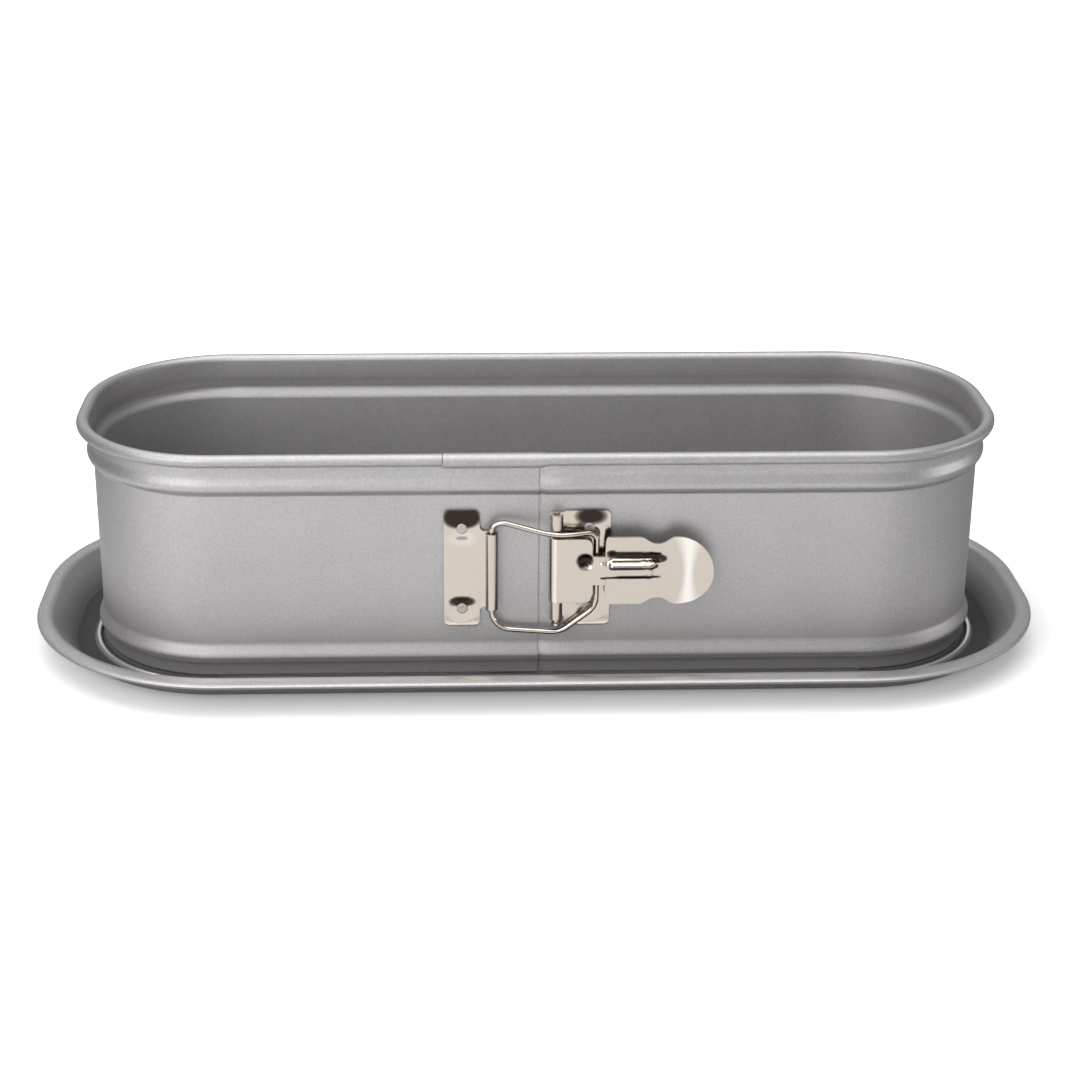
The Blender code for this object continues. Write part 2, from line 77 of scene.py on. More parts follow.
def startPoint(name, place):
    nothingSelected()
    bpy.ops.mesh.primitive_plane_add(size=1 * mm, location=place)
    piece = bpy.context.object
    piece.name = piece.data.name = name
    editVerts()
    bpy.ops.mesh.select_all(action="SELECT")
    bpy.ops.mesh.merge(type="CENTER")
    return piece


def drawLine(name, places):  # a chain of edges, left selected
    piece = startPoint(name, places[0])
    for before, after in zip(places, places[1:]):
        step = Vector(after) - Vector(before)
        bpy.ops.mesh.extrude_vertices_move(TRANSFORM_OT_translate={"value": step})
    bpy.ops.mesh.select_all(action="SELECT")
    return piece


def pull(step, times=1):
    share = Vector(step) / times
    for _ in range(times):
        bpy.ops.mesh.extrude_region_move(TRANSFORM_OT_translate={"value": share})


def turn(centre, degrees, steps, axis=(0, 0, 1)):  # anticlockwise, seen from the axis' tip
    bpy.ops.mesh.spin(steps=steps, angle=-math.radians(degrees), center=centre, axis=axis)


def roundedLine(points, widths, steps, closed=False):  # each corner becomes a smooth bend
    count = len(points)
    room = 0.48  # the share of an edge that one bend may take
    line = []
    for i, here in enumerate(points):
        here = Vector(here)
        if not closed and i in (0, count - 1):
            line.append(here)
            continue
        before, after = Vector(points[i - 1]), Vector(points[(i + 1) % count])
        width = widths[i] if isinstance(widths, list) else widths
        width = min(width, room * (here - before).length, room * (here - after).length)
        first = here + (before - here).normalized() * width
        last = here + (after - here).normalized() * width
        for k in range(steps + 1):
            t = k / steps
            line.append((1 - t) ** 2 * first + 2 * t * (1 - t) * here + t * t * last)
    return line


def outwards(piece, place, direction):  # the face nearest the place is made to look this way, and all with it
    bpy.ops.mesh.select_all(action="SELECT")
    bpy.ops.mesh.remove_doubles(threshold=weld)
    bpy.ops.mesh.normals_make_consistent(inside=False)
    bpy.ops.object.mode_set(mode="OBJECT")
    nearest = min(piece.data.polygons,
                  key=lambda face: (piece.matrix_world @ face.center - Vector(place)).length)
    if nearest.normal.dot(Vector(direction)) < 0:
        editVerts()
        bpy.ops.mesh.select_all(action="SELECT")
        bpy.ops.mesh.flip_normals()
        bpy.ops.object.mode_set(mode="OBJECT")


def useModifier(piece, kind, **settings):
    made = piece.modifiers.new(kind.lower(), kind)
    for key, value in settings.items():
        setattr(made, key, value)
    bpy.context.view_layer.objects.active = piece
    bpy.ops.object.modifier_apply(modifier=made.name)


def paint(piece, rule):  # painted shading, from a point's place and the way it faces: 1 is full painted shade, -1 is full painted highlight
    layer = piece.data.attributes.new("crevice", "FLOAT", "POINT")
    levels = [min(1, max(-1, rule(vert.co, vert.normal))) for vert in piece.data.vertices]
    layer.data.foreach_set("value", levels)


def fade(value, strength, start, stop):  # full at the start, gone at the stop
    return strength * min(1, max(0, (stop - value) / (stop - start)))


def stripe(value, strength, middle, full, gone):  # full near the middle, gone further off
    return fade(abs(value - middle), strength, full, gone)


def finishPiece(piece, look, body, nodes, sheet=0, edge=0, smoothAngle=35, shading=None):
    nothingSelected()
    piece.select_set(True)
    bpy.context.view_layer.objects.active = piece
    bpy.ops.object.transform_apply(location=True, rotation=True, scale=True)
    if sheet:
        useModifier(piece, "SOLIDIFY", thickness=sheet, offset=-1, use_even_offset=True,
                    use_quality_normals=True)
    if edge:
        useModifier(piece, "BEVEL", width=edge, segments=2, limit_method="ANGLE",
                    angle_limit=math.radians(sharpEdge), use_clamp_overlap=True)
    bpy.ops.object.shade_smooth_by_angle(angle=math.radians(smoothAngle))
    # the rule's painted shade and painted highlight are stored on the mesh, for the finish to read
    if shading:
        paint(piece, shading)
    piece.data.materials.clear()
    piece.data.materials.append(look)
    if body:
        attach(piece, body)
    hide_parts(*nodes)
    print("made", piece.name)
    return piece


# Materials: a signal is one output of a node, and sums on signals add Math nodes.

class Signal:
    def __init__(self, finish, socket):
        self.finish = finish
        self.socket = socket

    def maths(self, operation, first, second):
        return self.finish.value("ShaderNodeMath", {"operation": operation}, {0: first, 1: second})

    def __add__(self, other):
        return self.maths("ADD", self, other)

    def __radd__(self, other):
        return self.maths("ADD", other, self)

    def __sub__(self, other):
        return self.maths("SUBTRACT", self, other)

    def __rsub__(self, other):
        return self.maths("SUBTRACT", other, self)

    def __mul__(self, other):
        return self.maths("MULTIPLY", self, other)

    def __rmul__(self, other):
        return self.maths("MULTIPLY", other, self)


class NodeBench:
    def __init__(self, tree):
        self.tree = tree
        tree.nodes.clear()

    def node(self, kind, settings=None, sockets=None):
        made = self.tree.nodes.new(kind)
        for key, value in (settings or {}).items():
            if key == "stops":
                self.setStops(made.color_ramp, value)
            else:
                setattr(made, key, value)
        for key, value in (sockets or {}).items():
            self.feed(made.inputs[key], value)
        return made

    def feed(self, socket, value):
        if isinstance(value, Signal):
            self.tree.links.new(value.socket, socket)
        else:
            socket.default_value = value

    def signal(self, node, output):
        return Signal(self, node.outputs[output])

    def setStops(self, ramp, stops):
        while len(ramp.elements) < len(stops):
            ramp.elements.new(0.5)
        for element, (place, level) in zip(ramp.elements, stops):
            element.position = place
            element.color = (level, level, level, 1)

    def value(self, kind, settings=None, sockets=None, output=0):
        return self.signal(self.node(kind, settings, sockets), output)

    def ramp(self, signal, *stops):
        return self.value("ShaderNodeValToRGB", {"stops": stops}, {"Fac": signal})

    def mix(self, factor, first, second):
        return self.value("ShaderNodeMix", {"data_type": "RGBA"}, {0: factor, 6: first, 7: second}, output=2)


class Finish(NodeBench):
    def __init__(self, name):
        self.material = bpy.data.materials.new(name)
        self.material.use_nodes = True
        super().__init__(self.material.node_tree)
        self.shader = self.node("ShaderNodeBsdfPrincipled")
        self.node("ShaderNodeOutputMaterial", None, {"Surface": self.signal(self.shader, 0)})
        self.place = self.value("ShaderNodeTexCoord", output="Object")

    def mapped(self, stretch, turned):
        return self.value("ShaderNodeMapping", None,
                          {"Vector": self.place, "Scale": stretch, "Rotation": turned})

    def noise(self, size, detail, roughness, where=None):
        return self.value("ShaderNodeTexNoise", None,
                          {"Vector": where or self.place, "Scale": 1 / size, "Detail": detail,
                           "Roughness": roughness})

    def painted(self, name):  # a value stored on the mesh
        return self.value("ShaderNodeAttribute", {"attribute_name": name}, output="Fac")

    def bump(self, height, depth, strength, onto=None):
        sockets = {"Height": height, "Distance": depth, "Strength": strength}
        if onto:
            sockets["Normal"] = onto
        return self.value("ShaderNodeBump", None, sockets)

    def surface(self, **sockets):
        for key, value in sockets.items():
            self.feed(self.shader.inputs[key], value)


def colour(red, green, blue):
    return (red, green, blue, 1)


# Silver-grey non-stick coating: metal flake in a satin lacquer, over rolled sheet, with painted shade and
# painted highlights laid over it.
# In each look a noise is given as size, detail and roughness, and a bump as depth and strength.

coatedLook = {
    "dark": colour(0.400, 0.391, 0.391), "light": colour(0.625, 0.610, 0.610),
    # the darkest colour is painted shade and the palest is painted highlight; where shade is painted the coat
    # is also made less metallic and rougher
    "crevice": colour(0.06, 0.057, 0.056), "paintedHighlight": colour(0.95, 0.93, 0.92),
    "flake": 0.36 * mm, "flakeShare": 0.2, "flakeBump": (0.008 * mm, 0.5),
    "grain": (0.9 * mm, 3, 0.65), "grainShare": 1.0, "mottle": (26 * mm, 3, 0.55), "mottleShare": 0.3,
    "orangePeel": (1.6 * mm, 2, 0.5), "peelBump": (0.004 * mm, 0.6), "metallic": 0.86,
    "paintedShadingMetallic": -0.5, "sheen": (9 * mm, 3, 0.6), "roughness": (0.40, 0.50), "paintedShadingRoughness": 0.3,
}


def coatedSteel():
    look = coatedLook
    finish = Finish("coatedSteel")
    flake = finish.value("ShaderNodeTexVoronoi", {"feature": "F1"},
                         {"Vector": finish.place, "Scale": 1 / look["flake"]}, output="Color")
    sparkle = finish.value("ShaderNodeSeparateColor", None, {"Color": flake})
    mottle = finish.noise(*look["mottle"])
    grain = finish.noise(*look["grain"])
    tone = (0.5 + look["flakeShare"] * (sparkle - 0.5) + look["grainShare"] * (grain - 0.5)
            + look["mottleShare"] * (mottle - 0.5))
    crevice = finish.painted("crevice")
    plain = finish.mix(tone, look["dark"], look["light"])
    low, high = look["roughness"]
    peel = finish.noise(*look["orangePeel"])
    normal = finish.bump(sparkle, *look["flakeBump"])
    normal = finish.bump(peel, *look["peelBump"], onto=normal)
    # the stored painted shading darkens the colour as painted shade, or lightens it as painted highlight
    # where it is below zero
    finish.surface(**{
        "Base Color": finish.mix(crevice, finish.mix(-1 * crevice, plain, look["paintedHighlight"]), look["crevice"]),
        "Metallic": look["metallic"] + look["paintedShadingMetallic"] * crevice,
        "Roughness": (low + (high - low) * finish.noise(*look["sheen"])
                      + look["paintedShadingRoughness"] * crevice),
        "Normal": normal,
    })
    return finish.material


# Bright nickel plate, a little warm: fine haze and hairline scratches, with painted shade and painted
# highlights.

nickelLook = {
    "bright": colour(0.660, 0.600, 0.535), "hazy": colour(0.600, 0.545, 0.480),
    "paintedShade": colour(0.040, 0.032, 0.027), "paintedShine": colour(0.95, 0.92, 0.87),
    "haze": (3.5 * mm, 4, 0.6), "hazeShare": 0.55, "roughness": (0.07, 0.19),
    "ripple": (7 * mm, 2, 0.5), "rippleBump": (0.02 * mm, 0.5),
    "hair": (0.35 * mm, 2, 0.6), "hairStretch": (1, 1, 9), "hairTurn": (0, 0.5, 0),
    "scratches": [(0.60, 0), (0.68, 1)], "scratchShare": 0.1, "scratchBump": (0.001 * mm, 0.4),
}


def nickelPlate():
    look = nickelLook
    finish = Finish("nickelPlate")
    haze = finish.noise(*look["haze"])
    hair = finish.noise(*look["hair"], where=finish.mapped(look["hairStretch"], look["hairTurn"]))
    scratches = finish.ramp(hair, *look["scratches"])
    scratched = look["scratchShare"] * scratches
    plain = finish.mix(look["hazeShare"] * haze + scratched, look["bright"], look["hazy"])
    crevice = finish.painted("crevice")
    low, high = look["roughness"]
    ripple = finish.noise(*look["ripple"])
    normal = finish.bump(ripple, *look["rippleBump"])
    normal = finish.bump(scratches, *look["scratchBump"], onto=normal)
    # the stored painted shading darkens the colour towards the painted shade colour, or lightens it towards
    # the painted highlight where below zero
    finish.surface(**{
        "Base Color": finish.mix(crevice, finish.mix(-1 * crevice, plain, look["paintedShine"]), look["paintedShade"]),
        "Metallic": 1.0,
        "Roughness": low + (high - low) * haze + scratched,
        "Normal": normal,
    })
    return finish.material


# Rivets: soft aluminium, matt from the press, with a scuffed face and a painted shade ring round the head's
# edge.

rivetLook = {
    # the ring colour is painted shade round the head's rounded edge and sides
    "light": colour(0.62, 0.62, 0.60), "dark": colour(0.40, 0.40, 0.39), "ring": colour(0.08, 0.075, 0.07),
    "scuff": (0.5 * mm, 4, 0.7), "rubs": (0.3 * mm, 3, 0.6), "rubStretch": (1, 1, 6), "rubTurn": (0, 0.8, 0),
    "rubShare": 0.4, "rubBump": (0.012 * mm, 0.6), "metallic": 0.9, "roughness": (0.3, 0.5),
}


def rivetAluminium():
    look = rivetLook
    finish = Finish("rivetAluminium")
    scuff = finish.noise(*look["scuff"])
    rubs = finish.noise(*look["rubs"], where=finish.mapped(look["rubStretch"], look["rubTurn"]))
    tone = (1 - look["rubShare"]) * scuff + look["rubShare"] * rubs
    low, high = look["roughness"]
    finish.surface(**{
        "Base Color": finish.mix(finish.painted("crevice"), finish.mix(tone, look["light"], look["dark"]),
                                 look["ring"]),
        "Metallic": look["metallic"],
        "Roughness": low + (high - low) * scuff,
        "Normal": finish.bump(rubs, *look["rubBump"]),
    })
    return finish.material


coated = coatedSteel()
nickel = nickelPlate()
aluminium = rivetAluminium()
print("finishes made")


# The band: one rolled strip. Its inner face is drawn as a section and swept round the pan.

band = {
    "halfLength": 148.5 * mm, "halfWidth": 49.5 * mm, "corner": 42 * mm, "sheet": 0.5 * mm, "cornerSteps": 26,
    "section": [  # outwards from the plain wall, height
        (-0.30, 2.45), (-0.30, 3.25), (-0.30, 6.90), (0.95, 8.70), (1.22, 9.40), (1.00, 10.30), (0.22, 11.90),
        (-0.50, 13.50), (-0.50, 65.90), (0.55, 67.05), (1.35, 67.90), (1.62, 68.80), (1.60, 69.60),
        (1.22, 70.90), (0.80, 72.40), (0.80, 78.70)],
    "bends": [0, 0.2, 0.9, 0.6, 0.5, 0.6, 0.9, 1.2, 0.7, 0.6, 0.5, 0.5, 0.6, 0.8, 0.9, 0], "bendSteps": 3,
    "rimOut": 2.9 * mm, "rimRadius": 2.1 * mm, "rimTurn": 280, "rimSteps": 18,
    "seam": -1.3 * mm, "rimEnd": -31.9 * mm, "innerEnd": -18.5 * mm, "joggle": 3.05 * mm, "tuck": 0.75 * mm,
    "gap": 0.25 * mm, "step": 0.8 * mm, "trim": 0.45 * mm, "flexHalf": 102.5 * mm,
    "endSteps": 2, "straightSteps": 12, "overlapSteps": 6, "tongueSteps": 4, "backSteps": 24,
}
bandShadingTable = {  # how much painted shade, then the values for fade or stripe: heights and lengths in mm, or a share of facing
    "inside": 0.12, "insideTop": 77, "innerWall": 0.16, "leftInside": (0.4, -146, -50),
    "leftCorner": (0.35, -135, -100), "rightInside": (0.15, -140, -40), "belowBead": (1, 60, 67),
    "ledge": (0.17, -0.5, -0.1), "collar": (0.17, -72, -69),
    "skirt": (0.5, 6.2, 8.6), "skirtLine": (0.2, 7.2, 0.3, 1.0), "foot": (0.5, 2.95, 3.2),
    "lowBead": (0.13, 10.5, 2, 4), "lowWall": (0.05, 14, 34), "crease": (0.5, 66.1, 0.2, 0.8),
    "creaseBehind": 0.9, "creaseEnd": (1, 1, 3), "underRim": (0.8, 76.4, 0.6, 1.8), "rimBehind": 2.6,
    "rim": 0.1, "rimFrom": 77.2,
}
straightX = band["halfLength"] - band["corner"]
straightY = band["halfWidth"] - band["corner"]
footZ, rimZ = (band["section"][i][1] * mm for i in (0, -1))
wallPlace = Vector((0.75 * straightX, band["halfWidth"], 0.5 * rimZ))


def beyondStraight(place):  # how far past the straight middle, in each direction
    return (math.copysign(max(abs(place.x) - straightX, 0), place.x),
            math.copysign(max(abs(place.y) - straightY, 0), place.y))


def wallOut(place):  # distance out from the plain wall
    return math.hypot(*beyondStraight(place)) - band["corner"]


# Painted shade on the band: darker inside the pan (most towards the left end and below the bead), on the
# skirt, along the lower bead and low wall, along the upper bead's crease from the seam rightwards, under the
# rim and a little on the rim's top.
def bandPaintedShading(place, facing):
    shading = bandShadingTable
    out, x, z = wallOut(place) / mm, place.x / mm, place.z / mm
    acrossX, acrossY = beyondStraight(place)
    if facing.x * acrossX + facing.y * acrossY < 0 and z < shading["insideTop"]:
        wall = (shading["innerWall"] + fade(x, *shading["leftInside"]) + fade(x, *shading["leftCorner"])
                + fade(-x, *shading["rightInside"]))
        return (shading["inside"] + wall * fade(z, *shading["belowBead"]) + fade(-facing.z, *shading["ledge"])
                + fade(-z, *shading["collar"]))
    skirt = fade(z, *shading["skirt"]) + stripe(z, *shading["skirtLine"]) + fade(z, *shading["foot"])
    bead = stripe(z, *shading["lowBead"]) + fade(z, *shading["lowWall"])
    crease = stripe(z, *shading["crease"]) * fade(-x, *shading["creaseEnd"]) if out < shading["creaseBehind"] else 0
    underRim = stripe(z, *shading["underRim"]) if out < shading["rimBehind"] else 0
    rim = shading["rim"] if z > shading["rimFrom"] else 0
    return max(skirt, bead, crease, underRim, rim)


def startBand(name, x):  # the section, standing on the back wall
    section = [(0, out * mm, z * mm) for out, z in band["section"]]
    line = roundedLine(section, [bend * mm for bend in band["bends"]], band["bendSteps"])
    piece = drawLine(name, [Vector((x, band["halfWidth"], 0)) + place for place in line])
    selectVerts(lambda place: place.z > rimZ - touch)
    turn((x, band["halfWidth"] + band["rimOut"], rimZ), -band["rimTurn"], band["rimSteps"], (1, 0, 0))
    bpy.ops.mesh.select_all(action="SELECT")
    return piece


def sweepEnd(side):  # round one end of the pan, from the back wall to the front wall
    turn((side * straightX, straightY, 0), -90 * side, band["cornerSteps"])
    pull((0, -2 * straightY, 0), band["endSteps"])
    turn((side * straightX, -straightY, 0), -90 * side, band["cornerSteps"])


def liftSkirt(side):  # the lower edge is trimmed higher along the straight front
    selectVerts(lambda place: place.z < footZ + touch and place.y < 0
                and side * place.x < straightX - 0.5 * band["step"])
    bpy.ops.transform.translate(value=(0, 0, band["trim"]))


def frontEdge(x, also=lambda place: True):  # picks the strip's open edge at x, or the part that passes
    return lambda place: abs(place.x - x) < touch and place.y < 0 and also(place)


def bandLeft():
    piece = startBand("bandLeft", -straightX)
    sweepEnd(-1)
    rimStop = band["rimEnd"] - band["gap"]
    pull((band["step"], 0, 0))
    pull((rimStop + straightX - band["step"], 0, 0), band["straightSteps"])
    selectVerts(frontEdge(rimStop, lambda place: place.z < rimZ + touch
                          and wallOut(place) < band["rimRadius"]))
    pull((band["seam"] - rimStop, 0, 0), band["overlapSteps"])
    liftSkirt(-1)
    outwards(piece, wallPlace * Vector((-1, -1, 1)), (0, 1, 0))
    return finishPiece(piece, coated, "ring_left", ["band_left"], band["sheet"],
                       shading=bandPaintedShading)


def bandRight():
    piece = startBand("bandRight", straightX)
    sweepEnd(1)
    joggleStart = band["seam"] + band["gap"] + band["joggle"]
    joggleEnd = band["seam"] + band["gap"]
    pull((-band["step"], 0, 0))
    pull((joggleStart - straightX + band["step"], 0, 0), band["straightSteps"])
    pull((-band["joggle"], 0, 0))
    rimMiddle = Vector((joggleEnd, -band["halfWidth"] - band["rimOut"], rimZ))
    selectVerts(frontEdge(joggleEnd, lambda place: (place - rimMiddle).length > band["rimRadius"] + touch))
    bpy.ops.transform.translate(value=(0, band["tuck"], 0))
    selectVerts(frontEdge(joggleEnd, lambda place: (place - rimMiddle).length < band["rimRadius"] + touch))
    grown = 1 + 0.5 * band["tuck"] / band["rimRadius"]
    shift = Vector((0, 0.5 * band["tuck"], -0.5 * band["tuck"]))
    bpy.ops.transform.resize(value=(1, grown, grown), center_override=rimMiddle)
    bpy.ops.transform.translate(value=shift)
    selectVerts(frontEdge(joggleEnd))
    pull((band["innerEnd"] - joggleEnd, 0, 0), band["tongueSteps"])
    rimMiddle += shift
    rimMiddle.x = band["innerEnd"]
    grownRadius = band["rimRadius"] * grown
    selectVerts(frontEdge(band["innerEnd"], lambda place: (place - rimMiddle).length < grownRadius + touch))
    pull((band["rimEnd"] - band["innerEnd"], 0, 0), band["tongueSteps"])
    liftSkirt(1)
    outwards(piece, wallPlace * Vector((1, -1, 1)), (0, 1, 0))
    return finishPiece(piece, coated, "ring_right", ["band_right"], band["sheet"],
                       shading=bandPaintedShading)


def bandBack():  # the back wall between the two ends, a fixed piece with no body; on the real pan it bends as the strip springs open
    piece = startBand("bandBack", -straightX)
    pull((2 * straightX, 0, 0), band["backSteps"])
    outwards(piece, wallPlace, (0, -1, 0))
    finishPiece(piece, coated, None, ["band_left", "band_right"], band["sheet"],
                shading=bandPaintedShading)
    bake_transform(piece)
    return piece


bandLeft()
bandRight()
bandBack()


# The base tray: a platform whose edge is drawn out ring by ring, then given the sheet's thickness.

tray = {
    "sheet": 0.8 * mm, "gutter": 9.8 * mm, "lip": 22.2 * mm, "sideExtra": 5.0 * mm, "cornerSteps": 22,
    "edge": 0.12 * mm,
    "section": [  # outwards from the plain wall, height
        (-6.0, 9.00), (-1.6, 9.00), (-1.6, 2.20), (0.60, 2.20), (0.80, 1.10), (1.20, 1.10), (1.55, 2.30),
        (3.00, 2.30), (3.80, 0.90), (5.40, 0.80), (8.60, 0.85), (10.6, 1.65), (12.5, 4.30), (14.8, 7.90),
        (17.4, 11.60), (19.0, 12.30), (21.5, 11.80), (22.2, 11.30), (22.1, 10.5), (21.5, 10.1)],
    "bends": [0, 1.5, 0.7, 0.2, 0.2, 0.2, 0.6, 0.6, 0.6, 0.8, 1.2, 0.8, 0.8, 0.8, 1.2, 0.8, 0.5, 0.4, 0.3, 0],
    "bendSteps": 4,
}
trayShadingTable = {  # how much painted shade (below zero, painted highlight), then the values for fade or stripe: distances out, heights and lengths in mm
    "underside": 0.5, "undersideFacing": 0.3, "undersideFrom": 8, "lipFrom": 16.5,
    "lip": (-1.0, 18.7, 1.0, 2.6), "lipMiddle": (1, 85, 125), "seatFrom": 0.2, "seatTo": 1.6,
    "seat": (0.9, 2.0, 4.0), "ridgeTo": 3.05, "ridge": -0.9, "gutterMiddle": 5.4,
    "gutter": (1, 5.4, 1.5, 2.3), "flare": (1, 9.6, 15),
}


# Painted shade on the flare's and lip's undersides and sides, low on the band's seat, in the gutter and up
# the flare; painted highlight along the lip's crest in the middle of the long sides and on the ridge's top.
def trayPaintedShading(place, facing):
    shading, out = trayShadingTable, wallOut(place)
    if out > tray["gutter"]:  # the long sides flare wider than the ends
        acrossX, acrossY = beyondStraight(place)
        extra = (tray["sideExtra"] / (tray["lip"] - tray["gutter"])
                 * acrossY ** 2 / (acrossX ** 2 + acrossY ** 2))
        out = (out + tray["gutter"] * extra) / (1 + extra)
    out /= mm
    if facing.z < shading["undersideFacing"] and out > shading["undersideFrom"]:
        return shading["underside"]
    if out > shading["lipFrom"]:
        return stripe(out, *shading["lip"]) * fade(abs(place.x) / mm, *shading["lipMiddle"])
    if out < shading["seatTo"]:
        return fade(place.z / mm, *shading["seat"]) if out > shading["seatFrom"] else 0
    if out < shading["ridgeTo"]:
        return shading["ridge"]
    return stripe(out, *shading["gutter"]) if out < shading["gutterMiddle"] else fade(out, *shading["flare"])


def ringSize(out):  # half length, half width and corner radius
    beyond = max(out - tray["gutter"], 0) / (tray["lip"] - tray["gutter"])
    sideOut = out + tray["sideExtra"] * beyond
    return band["halfLength"] + out, band["halfWidth"] + sideOut, band["corner"] + 0.5 * (out + sideOut)


def stepOut(before, after):  # extrude the outermost ring, then widen it corner by corner
    halfX, halfY, radius = ringSize(before.x)
    newX, newY, newRadius = ringSize(after.x)
    bpy.ops.mesh.extrude_edges_move(TRANSFORM_OT_translate={"value": (0, 0, after.y - before.y)})
    bpy.ops.mesh.hide(unselected=True)
    for sideX, sideY in ((1, 1), (-1, 1), (-1, -1), (1, -1)):
        selectVerts(lambda place: place.x * sideX > 0 and place.y * sideY > 0)
        corner = (sideX * (halfX - radius), sideY * (halfY - radius), after.y)
        grown = newRadius / radius
        bpy.ops.transform.resize(value=(grown, grown, 1), center_override=corner)
        bpy.ops.transform.translate(value=(sideX * (newX - newRadius - halfX + radius),
                                           sideY * (newY - newRadius - halfY + radius), 0))
    bpy.ops.mesh.select_all(action="SELECT")


def baseTray():
    section = [(out * mm, z * mm, 0) for out, z in tray["section"]]
    line = roundedLine(section, [bend * mm for bend in tray["bends"]], tray["bendSteps"])
    halfX, halfY, radius = ringSize(line[0].x)
    nothingSelected()
    bpy.ops.mesh.primitive_plane_add(size=2, location=(0, 0, line[0].y))
    piece = bpy.context.object
    piece.name = piece.data.name = "baseTray"
    editVerts()
    bpy.ops.transform.resize(value=(halfX, halfY, 1), center_override=(0, 0, line[0].y))
    bpy.ops.mesh.bevel(offset=radius, segments=tray["cornerSteps"], affect="VERTICES", clamp_overlap=False)
    for before, after in zip(line, line[1:]):
        stepOut(before, after)
    bpy.ops.mesh.reveal()
    outwards(piece, (0, 0, line[0].y), (0, 0, 1))
    return finishPiece(piece, coated, "base", ["base_tray"], tray["sheet"], tray["edge"],
                       shading=trayPaintedShading)


baseTray()


# Latch. Places are along the wall, outwards from its face, and above the latch's middle.

latch = {
    "middle": 40.3 * mm, "pin": 4.5 * mm, "throw": 13 * mm, "reach": 33.9 * mm, "axisOut": 3 * mm,
    "pinRadius": 1 * mm, "wireRadius": 0.9 * mm, "play": 0.2 * mm, "rise": 0.9 * mm, "front": 5 * mm,
}
latchShadingTable = {  # how much painted shade, then the values for fade: shares of the way that the plating faces
    "downShare": 0.85, "rightShare": 0.45, "underside": (0.9, -0.45, -0.12), "barSides": (0.85, 0.15, 0.62),
}
catchX = latch["pin"] + latch["throw"] - latch["reach"]
seatX = latch["pin"] + latch["throw"]


def onWall(x, out, z):
    return Vector((x, -band["halfWidth"] - out, latch["middle"] + z))


def drawStrip(name, columns, rows):  # a sheet drawn column by column: along, outwards, lowest, highest
    x, out, low, high = columns[0]
    piece = drawLine(name, [onWall(x, out, low), onWall(x, out, high)])
    bpy.ops.mesh.subdivide(number_cuts=rows - 1)
    bpy.ops.mesh.select_all(action="SELECT")
    for (x0, out0, low0, high0), (x1, out1, low1, high1) in zip(columns, columns[1:]):
        middle = 0.5 * (low1 + high1)
        pull((x1 - x0, out0 - out1, middle - 0.5 * (low0 + high0)))
        bpy.ops.transform.resize(value=(1, 1, (high1 - low1) / (high0 - low0)),
                                 center_override=onWall(x1, out1, middle))
    return piece


def press(test, depth, reach):  # push what passes the test outwards, with a soft edge
    selectVerts(test)
    bpy.ops.transform.translate(value=(0, -depth, 0), use_proportional_edit=True, proportional_size=reach,
                                proportional_edit_falloff="SMOOTH", use_proportional_connected=False)


def between(left, right, bottom, top):  # on the front of the lever
    return lambda place: (left < place.x < right and bottom < place.z - latch["middle"] < top
                                  and place.y < onWall(0, latch["front"], 0).y)


def near(x, z, radius):
    return lambda place: math.hypot(place.x - x, place.z - latch["middle"] - z) < radius


def cornerColumns(x, out, half, radius, side, steps=6):  # side: -1 where the plate begins, 1 where it ends
    columns = []
    for k in range(steps + 1):
        angle = math.radians(90 * (k / steps if side > 0 else 1 - k / steps))
        reach = radius * math.sin(angle)
        drop = radius * (1 - math.cos(angle))
        columns.append((x + side * (reach - radius), out, -half + drop, half - drop))
    return columns


def evenColumns(first, last, count):
    return [tuple(a + (b - a) * k / count for a, b in zip(first, last)) for k in range(1, count)]


def underside(place, facing):  # painted shade where the plating faces down or to the right
    lit = latchShadingTable["downShare"] * facing.z - latchShadingTable["rightShare"] * facing.x
    return fade(lit, *latchShadingTable["underside"])


def roundBar(place, facing):  # painted shade along both sides of a wire or pin, and where it faces down or to the right
    return max(underside(place, facing), fade(abs(facing.y), *latchShadingTable["barSides"]))


def dishes(shadingSpots, middle=0):  # a spot of painted shade is darkest at its centre; a negative spot is a painted highlight
    def rule(place, facing):
        x, z = (place.x - middle) / mm, (place.z - latch["middle"]) / mm
        deepest = underside(place, facing)
        for markX, markZ, halfLength, halfHeight, strength in shadingSpots:
            inside = 1 - ((x - markX) / halfLength) ** 2 - ((z - markZ) / halfHeight) ** 2
            mark = strength * max(0, inside) ** 0.5
            deepest = max(deepest, mark) if mark > 0 else deepest + mark
        return deepest
    return rule


